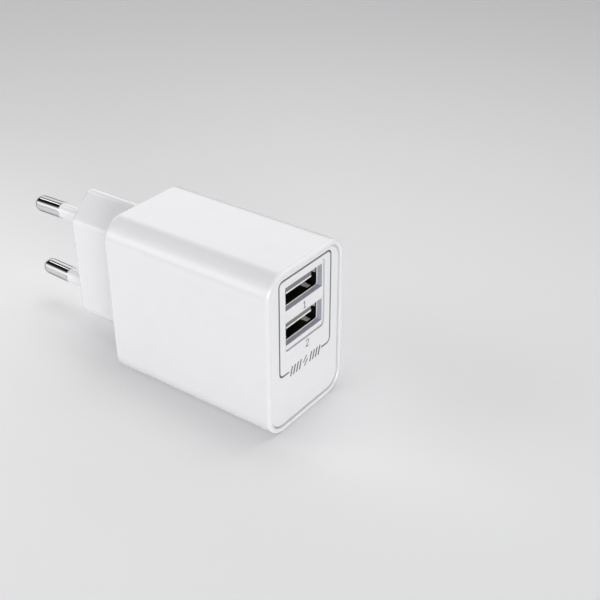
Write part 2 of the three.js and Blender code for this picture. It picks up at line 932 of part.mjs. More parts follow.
// One E-shaped core half, whose open side looks along Y in the given direction.
function makeCoreHalf(direction) {
  const { x, z, halfLength, width, thickness, centreLeg, outerLeg, back } = transformer;
  const half = width / 2;
  const legInside = half - outerLeg;
  const profile = [
    [0, -half],
    [halfLength, -half],
    [halfLength, -legInside],
    [back, -legInside],
    [back, -centreLeg / 2],
    [halfLength, -centreLeg / 2],
    [halfLength, centreLeg / 2],
    [back, centreLeg / 2],
    [back, legInside],
    [halfLength, legInside],
    [halfLength, half],
    [0, half],
  ];
  const meetingY = transformer.frontY + halfLength;
  const startY = meetingY - direction * (halfLength + transformer.halfGap);
  const placed = profile.map(([along, height]) => [startY + direction * along, z + height]);
  return slabAlongX(outline(placed), x - thickness / 2, x + thickness / 2);
}

addPart('transformer_core_front', makeCoreHalf(1), finishes.ferrite);
addPart('transformer_core_rear', makeCoreHalf(-1), finishes.ferrite);

function makeBobbin() {
  const { x, z, halfLength, width, thickness, centreLeg, outerLeg, back } = transformer;
  const gap = 0.2;
  const tubeWall = 0.5;
  const flange = 0.7;
  const middleY = transformer.frontY + halfLength;
  const halfTube = halfLength - back - gap;
  const boreX = thickness / 2 + gap;
  const boreZ = centreLeg / 2 + gap;
  const flangeZ = width / 2 - outerLeg - gap;
  const flangeX = mainBoardX - transformer.boardGap - x;
  const ring = (reachX, reachZ, yLow, yHigh) =>
    block(x - reachX, x + reachX, yLow, yHigh, z - reachZ, z + reachZ);
  const tube = ring(boreX + tubeWall, boreZ + tubeWall, middleY - halfTube, middleY + halfTube);
  const frontFlange = ring(flangeX, flangeZ, middleY - halfTube, middleY - halfTube + flange);
  const rearFlange = ring(flangeX, flangeZ, middleY + halfTube - flange, middleY + halfTube);
  const bore = ring(boreX, boreZ, middleY - halfLength, middleY + halfLength);
  return cut(join(tube, frontFlange, rearFlange), bore);
}

addPart('transformer_bobbin', makeBobbin(), finishes.bobbinBlack);

function makeWinding() {
  const { x, z, halfLength, width, thickness, centreLeg, outerLeg, back } = transformer;
  const tubeSpace = 0.8; // room for the bobbin's tube round the centre leg
  const legSpace = 0.4;
  const flangeSpace = 1.1;
  const boardSpace = 0.7;
  const outerRadius = 1.4;
  const innerRadius = 0.3;
  const insideX = thickness / 2 + tubeSpace;
  const insideZ = centreLeg / 2 + tubeSpace;
  const outsideX = mainBoardX - boardSpace - x;
  const outsideZ = width / 2 - outerLeg - legSpace;
  const middleY = transformer.frontY + halfLength;
  const reach = halfLength - back - flangeSpace;
  const loop = withHole(
    roundedRectangle(2 * outsideX, 2 * outsideZ, outerRadius),
    roundedRectangle(2 * insideX, 2 * insideZ, innerRadius),
  );
  const winding = slabAlongY(loop, middleY - reach, middleY + reach, 0, 3);
  winding.translate(x, 0, z);
  return winding;
}

addPart('transformer_winding', makeWinding(), finishes.windingTape);

// ---------------------------------------------------------------- USB board, link and film

function makeLinkHeader() {
  const { x, y, firstZ, pitch, count, halfWidth, halfDepth, overhang } = linkHeader;
  const lastZ = firstZ + (count - 1) * pitch;
  const bar = block(
    x - halfWidth,
    x + halfWidth,
    y - halfDepth,
    y + halfDepth,
    firstZ - overhang,
    lastZ + overhang,
  );
  const pins = [];
  for (let index = 0; index < count; index += 1) {
    const z = firstZ + index * pitch;
    const forward = usbBoardFrontY - restGap / 2;
    pins.push(block(x - leadRadius, x + leadRadius, forward, y, z - leadRadius, z + leadRadius));
    pins.push(makeLead(y, z, x));
  }
  return join(bar, ...pins);
}

addPart('link_header', makeLinkHeader(), finishes.bobbinBlack);

function makeUsbBoard() {
  const plain = slabAlongY(
    caseOutline(caseWall + boardClearance),
    usbBoardFrontY,
    usbBoardRearY,
    0,
    4,
  );
  plain.translate(0, 0, middleZ);
  const through = [usbBoardFrontY - cutBeyond, usbBoardRearY + cutBeyond];
  const holeClearance = 0.2;
  const halfWidth = contactWidth / 2 + holeClearance;
  const contactHoles = Object.values(socketZs).flatMap((z) => {
    const top = z - contactGap + holeClearance;
    const bottom = z - contactGap - contactThickness - holeClearance;
    return contactXs.map((x) => block(x - halfWidth, x + halfWidth, ...through, bottom, top));
  });
  const linkHoles = [];
  for (let index = 0; index < linkHeader.count; index += 1) {
    const z = linkHeader.firstZ + index * linkHeader.pitch;
    const reach = leadHoleRadius;
    linkHoles.push(
      block(linkHeader.x - reach, linkHeader.x + reach, ...through, z - reach, z + reach),
    );
  }
  return cut(plain, ...contactHoles, ...linkHoles);
}

addPart('usb_board', makeUsbBoard(), finishes.boardGreen);

// A clear film over the solder side, next to the case wall.
const filmThickness = 0.25;
const filmGap = 0.1;
const filmX = caseWidth / 2 - caseWall - filmGap;
const filmMargin = caseCornerRadius + 0.2; // keeps the film off the case's round corners
addPart(
  'insulation_sheet',
  block(
    filmX - filmThickness,
    filmX,
    mainBoardFrontY,
    mainBoardRearY,
    filmMargin,
    caseHeight - filmMargin,
  ),
  finishes.clearFilm,
);

export default charger;
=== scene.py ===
"""Looks of a dual USB wall charger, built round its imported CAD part.

Sizes are in millimetres until a mesh is finished, which turns them into metres.
+Z is up, the USB face looks along -Y and the plug pins point along +Y.
"""

import math

import bmesh
import bpy
from mathutils import Matrix, Vector


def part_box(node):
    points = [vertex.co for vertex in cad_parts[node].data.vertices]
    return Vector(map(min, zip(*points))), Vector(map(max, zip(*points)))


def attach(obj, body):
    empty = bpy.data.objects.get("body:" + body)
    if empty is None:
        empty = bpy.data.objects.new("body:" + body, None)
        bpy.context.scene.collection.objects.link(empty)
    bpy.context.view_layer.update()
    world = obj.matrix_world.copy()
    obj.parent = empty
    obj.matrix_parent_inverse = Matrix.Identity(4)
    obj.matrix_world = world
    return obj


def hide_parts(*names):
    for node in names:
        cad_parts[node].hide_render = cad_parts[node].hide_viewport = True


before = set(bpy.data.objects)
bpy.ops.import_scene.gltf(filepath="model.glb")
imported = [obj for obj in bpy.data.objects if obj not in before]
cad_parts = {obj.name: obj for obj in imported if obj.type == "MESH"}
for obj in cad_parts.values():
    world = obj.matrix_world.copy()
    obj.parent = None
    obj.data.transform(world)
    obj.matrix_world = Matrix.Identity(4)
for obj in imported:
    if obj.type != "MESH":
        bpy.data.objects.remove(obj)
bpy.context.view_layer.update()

METRE = 1000  # millimetres in a metre

# ---------------------------------------------------------------- places from the CAD nodes


def node_box(node):
    """Lowest and highest corner of a CAD node, in millimetres."""
    low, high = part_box(node)
    return low * METRE, high * METRE


case_low, case_high = node_box("case_shell")
inlay_low, inlay_high = node_box("panel_outline_inlay")

case_width = case_high.x - case_low.x
case_height = case_high.z - case_low.z
middle_z = (case_low.z + case_high.z) / 2
front_y = case_low.y
rear_y = case_high.y
face_y = node_box("front_panel")[0].y  # front of the USB panel
plug_face_y = node_box("rear_plug_cover")[1].y

# ---------------------------------------------------------------- driving dimensions

# Case and the two covers that sit inside its rims.
case_corner = 5.35
case_wall = 1.8
rim_width = 1.2
rim_round = 0.6
rim_inner_round = 0.25
cover_thickness = 2
cover_gap = 0.25
cover_round = 0.35
groove_depth = 0.45
groove_round = 0.08
seat_clearance = 0.02
seat_margin = 0.3  # from the back of a cover to the step in the case wall
skirt_depth = 3
skirt_thickness = 1

# Recess, ports and framing line of the USB panel.
recess_width = 14.1
recess_low_z = 19.4
recess_high_z = 36
recess_corner = 1.1
recess_depth = 0.4
recess_round = 0.12
recess_gap = 0.12  # fine gap between the recess wall and its floor
recess_gap_depth = 0.35
port_width = 12.9
port_height = 5.52
port_corner = 0.15
port_round = 0.06
port_zs = {"upper": 31.9, "lower": 23.45}
line_width = 0.36
line_corner = 1.2
line_opening = 11.9
line_groove = 0.35
line_clearance = 0.04
fine_round = 0.05  # the smallest rounding of an edge on the panel
flat_margin = 1  # from an opening's edge to the point that starts its profile on the face
recess_floor_y = face_y + recess_depth

# Printed marks: how far the ink stands proud of the face, and half the width of a stroke.
print_height = 0.012
print_edge_round = 0.04
numeral_half_stroke = 0.13
charging_half_stroke = 0.23

# USB-A shells and the spring tabs pressed out of them.
shell_setback = 1.2
shell_length = 13.2
shell_inner_width = 12.4
shell_inner_height = 5.02
shell_sheet = 0.23
shell_corner = 0.45
shell_lip_round = 0.11
shell_front_y = recess_floor_y + shell_setback
tab_length = 5
tab_root = 0.05  # how far a tab's back lies inside the sheet
tab_stand_off = 0.01
floor_tab_x = 4.35
floor_tab_half_width = 0.65
floor_tab_bow = 0.42
floor_tab_setback = 0.7
side_tab_rise = 1.15  # above the middle of the shell
side_tab_half_width = 0.95
side_tab_bow = 0.3
side_tab_setback = 0.4
tongue_width = 8.8
tongue_setback = 0.2
tongue_edge_height = 0.4
tongue_edge_depth = 0.3
tongue_edge_round = 0.08
tongue_edge_proud = 0.04

# Europlug body.
plug_height = 35.3
plug_width = 13.5
plug_top_flat = 2
plug_corner = 2.4
plug_edge_round = 0.8
plug_foot_round = 0.9
plug_end_wall = 3
plug_cavity_width = 7.5
plug_cavity_height = 27
plug_cavity_corner = 1.5
plug_profile_reach = 3  # how far the plug's profile runs on over the flat faces at its ends

# Pins and their sleeves; the places along a pin count from the plug's face.
pin_length = 19
pin_radius = 2
pin_core_radius = 1.5
pin_inner_length = 14
pin_pitch = 18.6
pin_pitch_at_tips = 17.5
pin_tilt = math.atan((pin_pitch - pin_pitch_at_tips) / 2 / pin_length)
pin_edge_round = 0.1
pin_gap = 0.05  # from the end of a sleeve to the bright end of its pin
bore_radius = 2.25
dish_radius = 3.6
dish_depth = 0.8
dish_slope = 0.5  # how much smaller the dish is at its floor
dish_brim_round = 0.12
dish_floor_round = 0.25
dish_bore_round = 0.1
sleeve_length = 10
sleeve_radius = 1.85
sleeve_bore = 1.6
sleeve_end_round = 0.06
collar_length = 3.4
collar_radius = 2.08
ring_step = 0.12  # height of the fine ring that ends the collar
ring_round = 0.08
ring_foot_round = 0.1
pin_segments = 48

# Camera, in metres and radians.
camera_place = (-0.15337, -0.15054, 0.14289)
camera_pitch = 0.543
camera_heading = 0.9419  # from +Y towards +X
camera_lens_pixels = 1060.3
image_pixels = 600
sensor_mm = 36

# Studio: the brightness of the surroundings by the angle round the Y axis, in degrees from
# straight up towards +X, and of the backdrop by its height, from the horizon up to 1.
light_strips = [
    (-90, 1.0),
    (-76, 1.15),
    (-66, 1.1),
    (-57, 0.6),
    (-47, 0.15),
    (-38, 0.03),
    (-32, 0.01),
    (4, 0.01),
    (16, 0.08),
    (35, 0.65),
    (50, 1.2),
    (64, 1.25),
    (82, 0.7),
]
backdrop_levels = [(0.0, 0.38), (0.15, 0.55), (0.5, 0.75)]
light_blueness = 1.01
floor_reach = 8

# ---------------------------------------------------------------- outlines


def arc(centre, radius, start, end, steps):
    """Points on an arc, from one angle to another in degrees."""
    points = []
    for step in range(steps + 1):
        angle = math.radians(start + (end - start) * step / steps)
        points.append(
            (
                centre[0] + radius * math.cos(angle),
                centre[1] + radius * math.sin(angle),
            )
        )
    return points


def rounded_rectangle(width, height, radius, steps):
    """Corner arcs of an upright rectangle, anticlockwise from the right."""
    x = width / 2 - radius
    z = height / 2 - radius
    points = []
    for centre, start in (((x, z), 0), ((-x, z), 90), ((-x, -z), 180), ((x, -z), 270)):
        points += arc(centre, radius, start, start + 90, steps)
    return points


def fillet(before, corner, after, radius, steps):
    """A rounded corner between two straight sides."""
    corner = Vector(corner)
    back = (Vector(before) - corner).normalized()
    onward = (Vector(after) - corner).normalized()
    half_angle = back.angle(onward) / 2
    reach = radius / math.tan(half_angle)
    middle = corner + (back + onward).normalized() * (radius / math.sin(half_angle))
    first = corner + back * reach - middle
    last = corner + onward * reach - middle
    points = []
    for step in range(steps + 1):
        share = step / steps
        spoke = first.lerp(last, share).normalized() * radius
        points.append(tuple(middle + spoke))
    return points


def softened(corners, steps=4, closed=False):
    """A profile from (across, along, radius) corners, each rounded where its radius isn't zero."""
    points = []
    count = len(corners)
    for index, (across, along, radius) in enumerate(corners):
        at_end = not closed and index in (0, count - 1)
        if radius == 0 or at_end:
            points.append((across, along))
            continue
        before = corners[index - 1][:2]
        after = corners[(index + 1) % count][:2]
        points += fillet(before, (across, along), after, radius, steps)
    return points


def case_ring(inset, y, steps=16):
    """The case outline moved inwards, as points in space."""
    outline = rounded_rectangle(
        case_width - 2 * inset,
        case_height - 2 * inset,
        case_corner - inset,
        steps,
    )
    return [(x, y, z + middle_z) for x, z in outline]


def box_ring(width, height, corner, centre_z, grown, y, steps=5):
    """A rounded rectangle in the face, grown by the given distance."""
    smallest_corner = 0.01
    outline = rounded_rectangle(
        width + 2 * grown,
        height + 2 * grown,
        max(corner + grown, smallest_corner),
        steps,
    )
    return [(x, y, z + centre_z) for x, z in outline]


def plug_ring(grown, y):
    """The plug's section: tall, with 45 degree flanks and softened corners."""
    half_top = plug_top_flat / 2 + grown * math.tan(math.radians(45 / 2))
    half_width = plug_width / 2 + grown
    half_height = plug_height / 2 + grown
    shoulder = half_height - (half_width - half_top)
    corners = [
        (half_top, half_height),
        (-half_top, half_height),
        (-half_width, shoulder),
        (-half_width, -shoulder),
        (-half_top, -half_height),
        (half_top, -half_height),
        (half_width, -shoulder),
        (half_width, shoulder),
    ]
    rounded = [(x, z, plug_corner + grown) for x, z in corners]
    outline = softened(rounded, steps=7, closed=True)
    return [(x, y, z + middle_z) for x, z in outline]


def pin_ring(side, radius, along, segments=40):
    """A circle round a pin's axis, at a place along it that counts from the plug's face."""
    lean = Matrix.Rotation(-side * pin_tilt, 3, "X")
    root = Vector((0, plug_face_y, middle_z + side * pin_pitch / 2))
    points = []
    for step in range(segments):
        angle = 2 * math.pi * step / segments
        spoke = Vector((radius * math.cos(angle), along, radius * math.sin(angle)))
        points.append(root + lean @ spoke)
    return points


def ribbon_outline(path, half_width, y):
    """The closed edge of a band that follows a path of (x, z) points."""
    left, right = [], []
    for index, point in enumerate(path):
        before = Vector(path[max(index - 1, 0)])
        after = Vector(path[min(index + 1, len(path) - 1)])
        direction = (after - before).normalized()
        normal = Vector((-direction.y, direction.x)) * half_width
        along = Vector((0, 0))
        if index == 0:
            along = -direction * (half_width - line_width / 2)
        if index == len(path) - 1:
            along = direction * (half_width - line_width / 2)
        left.append(Vector(point) + normal + along)
        right.append(Vector(point) - normal + along)
    return [(p.x, y, p.y) for p in left + right[::-1]]


# ---------------------------------------------------------------- mesh helpers


class Shape:
    """Grows one closed mesh from loops of points."""

    def __init__(self):
        self.mesh = bmesh.new()

    def loop(self, points):
        return [self.mesh.verts.new(Vector(point) / METRE) for point in points]

    def band(self, first, second, material=0):
        """Quads between two loops with the same number of points."""
        count = len(first)
        for index in range(count):
            onward = (index + 1) % count
            corners = (first[index], first[onward], second[onward], second[index])
            self.mesh.faces.new(corners).material_index = material

    def skin(self, rings, closed=False, material=0):
        """Bands through a row of rings of points. Returns the first and last loop."""
        loops = [self.loop(ring) for ring in rings]
        for first, second in zip(loops, loops[1:]):
            self.band(first, second, material)
        if closed:
            self.band(loops[-1], loops[0], material)
        return loops[0], loops[-1]

    def fan(self, loop, point, material=0):
        """Triangles from a loop to one point."""
        tip = self.mesh.verts.new(Vector(point) / METRE)
        for index, corner in enumerate(loop):
            onward = loop[(index + 1) % len(loop)]
            self.mesh.faces.new((corner, onward, tip)).material_index = material

    def fill(self, *loops, material=0):
        """A flat face between an outer loop and the loops of its holes."""
        edges = []
        for loop in loops:
            for index, corner in enumerate(loop):
                pair = (corner, loop[(index + 1) % len(loop)])
                edges.append(self.mesh.edges.get(pair) or self.mesh.edges.new(pair))
        made = bmesh.ops.triangle_fill(self.mesh, edges=edges, use_beauty=True)
        for part in made["geom"]:
            if isinstance(part, bmesh.types.BMFace):
                part.material_index = material

    def piece(self, name, materials, replaces=(), sharp_angle=40):
        """Turns the shape into an object that rides on the part's one body."""
        bmesh.ops.recalc_face_normals(self.mesh, faces=self.mesh.faces)
        for face in self.mesh.faces:
            face.smooth = True
        limit = math.radians(sharp_angle)
        for edge in self.mesh.edges:
            edge.smooth = edge.calc_face_angle(0) < limit
        data = bpy.data.meshes.new(name)
        self.mesh.to_mesh(data)
        self.mesh.free()
        for material in materials:
            data.materials.append(material)
        made = bpy.data.objects.new(name, data)
        bpy.context.scene.collection.objects.link(made)
        weighted = made.modifiers.new("even_shading", "WEIGHTED_NORMAL")
        weighted.keep_sharp = True
        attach(made, "root")
        if replaces:
            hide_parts(*replaces)
        return made


# ---------------------------------------------------------------- material helpers


class Finish:
    """A principled material whose colour, roughness and bump vary with procedural noise."""

    def __init__(self, name, **sockets):
        self.material = bpy.data.materials.new(name)
        self.material.use_nodes = True
        self.nodes = self.material.node_tree.nodes
        self.links = self.material.node_tree.links
        self.shader = self.nodes["Principled BSDF"]
        for socket, value in sockets.items():
            self.shader.inputs[socket.replace("_", " ")].default_value = value
        self.place = self.nodes.new("ShaderNodeTexCoord").outputs["Object"]

    def noise(self, per_mm, detail=3, stretch=(1, 1, 1)):
        """Noise with the given number of features per millimetre."""
        mapping = self.nodes.new("ShaderNodeMapping")
        mapping.inputs["Scale"].default_value = stretch
        self.links.new(self.place, mapping.inputs["Vector"])
        noise = self.nodes.new("ShaderNodeTexNoise")
        noise.inputs["Scale"].default_value = per_mm * METRE
        noise.inputs["Detail"].default_value = detail
        self.links.new(mapping.outputs["Vector"], noise.inputs["Vector"])
        return noise.outputs["Fac"]

    def colour(self, driver, low, high, start=0.35, end=0.65):
        ramp = self.nodes.new("ShaderNodeValToRGB")
        ramp.color_ramp.elements[0].position = start
        ramp.color_ramp.elements[1].position = end
        ramp.color_ramp.elements[0].color = (*low, 1)
        ramp.color_ramp.elements[1].color = (*high, 1)
        self.links.new(driver, ramp.inputs["Fac"])
        self.links.new(ramp.outputs["Color"], self.shader.inputs["Base Color"])
        return self

    def roughness(self, driver, low, high):
        spread = self.nodes.new("ShaderNodeMapRange")
        spread.inputs["From Min"].default_value = 0.3
        spread.inputs["From Max"].default_value = 0.7
        spread.inputs["To Min"].default_value = low
        spread.inputs["To Max"].default_value = high
        self.links.new(driver, spread.inputs["Value"])
        self.links.new(spread.outputs["Result"], self.shader.inputs["Roughness"])
        return self

    def bump(self, driver, height_mm, strength=1.0):
        bump = self.nodes.new("ShaderNodeBump")
        bump.inputs["Strength"].default_value = strength
        bump.inputs["Distance"].default_value = height_mm / METRE
        self.links.new(driver, bump.inputs["Height"])
        self.links.new(bump.outputs["Normal"], self.shader.inputs["Normal"])
        return self


def shades(colour, spread):
    """A slightly darker and a slightly lighter version of a colour."""
    return (
        tuple(channel * (1 - spread) for channel in colour),
        tuple(min(channel * (1 + spread), 1) for channel in colour),
    )


def mottled(name, colour, spread, rough, grain_per_mm, grain_mm, **sockets):
    """The usual finish: faint colour and gloss variation, and a fine grain.

    spread is the variation as a share of the colour, and rough the lowest and highest
    roughness. The grain has grain_per_mm bumps in each millimetre, grain_mm high.
    """
    finish = Finish(name, **sockets)
    finish.colour(finish.noise(0.25), *shades(colour, spread))
    finish.roughness(finish.noise(0.6), *rough)
    finish.bump(finish.noise(grain_per_mm, detail=4), grain_mm)
    return finish.material


# ---------------------------------------------------------------- materials

gloss_coat = {"Coat_Weight": 1.0, "Coat_Roughness": 0.16, "Coat_IOR": 1.8}
white_case = mottled(
    "white_case", (0.78, 0.78, 0.792), 0.006, (0.17, 0.22), 3, 0.0006, **gloss_coat
)
sleeve_white = mottled(
    "pin_sleeve", (0.82, 0.82, 0.83), 0.01, (0.2, 0.26), 4, 0.001, **gloss_coat
)
# Blue-grey painted shade on the white panel's port walls and on the fine recess gap, standing for
# the deep shade in those openings.
port_wall_painted_shade = mottled("port_wall_painted_shade", (0.50, 0.51, 0.58), 0.04, (0.38, 0.48), 5, 0.002)
# Grey painted shade on the white panel's recess wall, standing for the shade along that wall.
recess_wall_painted_shade = mottled("recess_wall_painted_shade", (0.66, 0.665, 0.68), 0.01, (0.3, 0.38), 4, 0.001)
grey_ink = mottled("grey_ink", (0.125, 0.125, 0.13), 0.06, (0.42, 0.55), 8, 0.002)
mark_ink = mottled("mark_ink", (0.05, 0.05, 0.053), 0.06, (0.42, 0.55), 8, 0.002)
# Dark grey painted shade on the socket tongues, standing for the shadow that each shell's top lip
# casts over the tongue's face.
socket_insulator = mottled("socket_insulator", (0.18, 0.18, 0.18), 0.03, (0.3, 0.4), 4, 0.002)
# Pale painted highlight on the bead along each tongue's lower front edge, standing for the lit
# lower band of the tongue's face.
tongue_painted_highlight = mottled("tongue_painted_highlight", (0.86, 0.86, 0.84), 0.02, (0.3, 0.4), 4, 0.002)
# Near-black painted shade on the inside of each USB shell, standing for the shadowed inside of the
# metal tube.
nickel_painted_shade = mottled(
    "nickel_painted_shade", (0.02, 0.019, 0.017), 0.1, (0.4, 0.5), 3, 0.001, Metallic=0.8
)
# Satin nickel, lighter than the plain nickel as painted light, on each shell's lip and spring tabs:
# it stands for the lit lip and the lit patch on the inner side wall.
satin_nickel_painted_light = mottled(
    "satin_nickel_painted_light", (0.90, 0.885, 0.855), 0.03, (0.5, 0.6), 3, 0.001, Metallic=0.6
)


def bright_nickel():
    finish = Finish("nickel", Metallic=1.0)
    finish.colour(finish.noise(0.5), *shades((0.80, 0.78, 0.73), 0.03))
    finish.roughness(finish.noise(2, stretch=(1, 8, 1)), 0.22, 0.32)
    finish.bump(finish.noise(3, stretch=(1, 12, 1)), 0.001)
    return finish.material


def bright_chrome():
    """Mirror plating, darker at its edges, with the faint marks that run along a pin."""
    finish = Finish("chrome_pin", Metallic=1.0, Specular_Tint=(0.25, 0.25, 0.26, 1))
    finish.colour(finish.noise(0.3), *shades((0.81, 0.81, 0.815), 0.01))
    finish.roughness(finish.noise(1, stretch=(1, 0.2, 1)), 0.035, 0.075)
    finish.bump(finish.noise(4, stretch=(1, 0.05, 1)), 0.0003)
    return finish.material


nickel = bright_nickel()
chrome_pin = bright_chrome()

# ---------------------------------------------------------------- case sleeve


def build_case_sleeve():
    seat = cover_thickness + (face_y - front_y) + seat_margin
    profile = softened(
        [
            (0, front_y, rim_round),
            (rim_width, front_y, rim_inner_round),
            (rim_width, front_y + seat, 0),
            (case_wall, front_y + seat, 0),
            (case_wall, rear_y - seat, 0),
            (rim_width, rear_y - seat, 0),
            (rim_width, rear_y, rim_inner_round),
            (0, rear_y, rim_round),
        ],
        steps=6,
        closed=True,
    )
    shape = Shape()
    shape.skin([case_ring(inset, y, steps=20) for inset, y in profile], closed=True)
    shape.piece("case_sleeve", [white_case], ["case_shell"])


build_case_sleeve()

# ---------------------------------------------------------------- USB panel


def framing_line_path():
    """The middle of the framing line, from one end of its opening round to the other."""
    half = (inlay_high.x - inlay_low.x - line_width) / 2
    low = inlay_low.z + line_width / 2
    high = inlay_high.z - line_width / 2
    corners = [
        (-line_opening / 2, low, 0),
        (-half, low, line_corner),
        (-half, high, line_corner),
        (half, high, line_corner),
        (half, low, line_corner),
        (line_opening / 2, low, 0),
    ]
    return softened(corners, steps=8)


def cover_edge(y, inwards):
    """A cover's edge profile, from its flat face to the seat; inwards is +1 or -1 along Y."""
    edge = rim_width + cover_gap
    seat = rim_width + seat_clearance
    return softened(
        [
            (edge + 2 * cover_round, y, 0),
            (edge, y, cover_round),
            (edge, y + inwards * groove_depth, groove_round),
            (seat, y + inwards * groove_depth, 0),
            (seat, y + inwards * cover_thickness, 0),
        ],
        steps=5,
    )[1:]


def panel_outline_profile(inside_y):
    """The panel's edge and the skirt behind it."""
    outer_profile = cover_edge(face_y, 1)
    skirt_edge = case_wall + cover_gap
    skirt_inner = skirt_edge + skirt_thickness
    outer_profile += [
        (skirt_edge, inside_y),
        (skirt_edge, inside_y + skirt_depth),
        (skirt_inner, inside_y + skirt_depth),
        (skirt_inner, inside_y),
    ]
    return outer_profile


def add_line_channel(shape):
    """The channel that holds the framing line. Returns its edge in the face."""
    half = line_width / 2 + line_clearance
    profile = softened(
        [
            (half + flat_margin, face_y, 0),
            (half, face_y, fine_round),
            (half, face_y + line_groove, 0),
        ],
        steps=3,
    )[1:]
    path = framing_line_path()
    edge, floor = shape.skin([ribbon_outline(path, reach, y) for reach, y in profile])
    shape.fill(floor)
    return edge


def recess_rings(profile):
    height = recess_high_z - recess_low_z
    centre_z = (recess_high_z + recess_low_z) / 2
    return [
        box_ring(recess_width, height, recess_corner, centre_z, grown, y, steps=8)
        for grown, y in profile
    ]


def add_recess(shape, wall_shade_material, gap_shade_material):
    """The recess, with a fine gap at the foot of its wall; the wall and the gap take materials of
    painted shade. Returns its edge and its floor.
    """
    gap_y = recess_floor_y + recess_gap_depth
    edge_profile = softened(
        [(flat_margin, face_y, 0), (0, face_y, recess_round), (0, recess_floor_y, 0)],
        steps=5,
    )[1:-1]
    floor_profile = softened(
        [
            (-recess_gap, gap_y, 0),
            (-recess_gap, recess_floor_y, fine_round),
            (-flat_margin, recess_floor_y, 0),
        ],
        steps=3,
    )[:-1]
    edge, wall_top = shape.skin(recess_rings(edge_profile))
    wall_foot = shape.loop(recess_rings([(0, gap_y)])[0])
    gap_inner, floor = shape.skin(recess_rings(floor_profile))
    shape.band(wall_top, wall_foot, wall_shade_material)
    shape.band(wall_foot, gap_inner, gap_shade_material)
    return edge, floor


def add_port(shape, centre_z, inside_y, material):
    """A port's opening through the panel, its walls in the given material, which build_usb_panel
    makes a painted shade. Returns its edge and its back.
    """
    profile = softened(
        [(flat_margin, recess_floor_y, 0), (0, recess_floor_y, port_round), (0, inside_y, 0)],
        steps=3,
    )[1:-1]
    rings = [
        box_ring(port_width, port_height, port_corner, centre_z, grown, y)
        for grown, y in profile
    ]
    edge, wall_top = shape.skin(rings)
    back = shape.loop(box_ring(port_width, port_height, port_corner, centre_z, 0, inside_y))
    shape.band(wall_top, back, material)
    return edge, back


def build_usb_panel():
    # Slots 1 and 2 are painted shade: the blue-grey on the port walls and the recess gap, and the
    # grey on the recess wall, stand for the shade in those hollows.
    port_shade_slot, recess_shade_slot = 1, 2
    shape = Shape()
    inside_y = face_y + cover_thickness
    outline = panel_outline_profile(inside_y)
    face_edge, back_edge = shape.skin([case_ring(inset, y) for inset, y in outline])
    channel_edge = add_line_channel(shape)
    recess_edge, recess_floor = add_recess(shape, recess_shade_slot, port_shade_slot)
    shape.fill(face_edge, channel_edge, recess_edge)
    ports = [add_port(shape, centre_z, inside_y, port_shade_slot) for centre_z in port_zs.values()]
    shape.fill(recess_floor, *[edge for edge, back in ports])
    shape.fill(back_edge, *[back for edge, back in ports])
    finishes = [white_case, port_wall_painted_shade, recess_wall_painted_shade]
    shape.piece("usb_panel", finishes, ["front_panel"])


build_usb_panel()


def band_rings(path, half_width, low_y, high_y):
    """Sections of a flat band along a path of (x, z) points: its top, at low_y, has soft edges."""
    soft = print_edge_round
    section = [
        (-half_width, high_y),
        (-half_width, low_y + soft),
        (-half_width + soft, low_y),
        (half_width - soft, low_y),
        (half_width, low_y + soft),
        (half_width, high_y),
    ]
    rings = []
    for index, point in enumerate(path):
        before = Vector(path[max(index - 1, 0)])
        after = Vector(path[min(index + 1, len(path) - 1)])
        direction = (after - before).normalized()
        across = Vector((-direction.y, direction.x))
        ring = []
        for offset, y in section:
            place = Vector(point) + across * offset
            ring.append((place.x, y, place.y))
        rings.append(ring)
    return rings


def add_band(shape, path, half_width, low_y, high_y):
    first, last = shape.skin(band_rings(path, half_width, low_y, high_y))
    shape.mesh.faces.new(first)
    shape.mesh.faces.new(last)


def build_framing_line():
    shape = Shape()
    add_band(shape, framing_line_path(), line_width / 2, inlay_low.y, inlay_high.y)
    shape.piece("framing_line", [grey_ink], ["panel_outline_inlay"])


build_framing_line()

# ---------------------------------------------------------------- printed marks


def build_marks(name, strokes, half_width, surface_y):
    """Printed marks, each a band along a path of (x, z) points."""
    shape = Shape()
    for path in strokes:
        add_band(shape, path, half_width, surface_y - print_height, surface_y + print_height)
    shape.piece(name, [mark_ink])


def numeral_one(x, z, height):
    """Strokes of a plain 1 whose foot is at (x, z)."""
    reach = height * 0.26
    flag_z = z + height * 0.76
    return [
        [(x, z), (x, z + height)],
        [(x - reach, flag_z), (x, z + height)],
        [(x - reach, z), (x + reach, z)],
    ]


def numeral_two(x, z, height):
    """Strokes of a plain 2 whose foot is centred on (x, z)."""
    radius = height * 0.29
    crown = arc((x, z + height - radius), radius, start=165, end=-35, steps=10)
    foot_left = (x - radius, z)
    foot_right = (x + radius * 1.05, z)
    return [crown + [foot_left], [foot_left, foot_right]]


def charging_motif(centre_z, height, reach):
    """A plain bolt between slanted bars, the outermost of them at the given reach."""
    low = centre_z - height / 2
    high = centre_z + height / 2
    bolt_tip, bolt_elbow, elbow_rise = 0.4, 0.8, 0.12
    bolt = [
        (bolt_tip, high),
        (-bolt_elbow, centre_z - elbow_rise),
        (bolt_elbow, centre_z + elbow_rise),
        (-bolt_tip, low),
    ]
    bars_each_side = 4
    bar_pitch = 1.05
    half_slant = height * 0.15
    strokes = [bolt]
    for side in (-1, 1):
        for step in range(bars_each_side):
            x = side * (reach - step * bar_pitch)
            strokes.append([(x - half_slant, low), (x + half_slant, high)])
    return strokes


build_marks(
    "port_numeral_1",
    numeral_one(x=0.2, z=26.85, height=1.6),
    numeral_half_stroke,
    recess_floor_y,
)
build_marks(
    "port_numeral_2",
    numeral_two(x=0.6, z=17.2, height=1.7),
    numeral_half_stroke,
    face_y,
)
build_marks(
    "charging_mark",
    charging_motif(centre_z=13.8, height=2.3, reach=5.05),
    charging_half_stroke,
    face_y,
)

# ---------------------------------------------------------------- USB shells


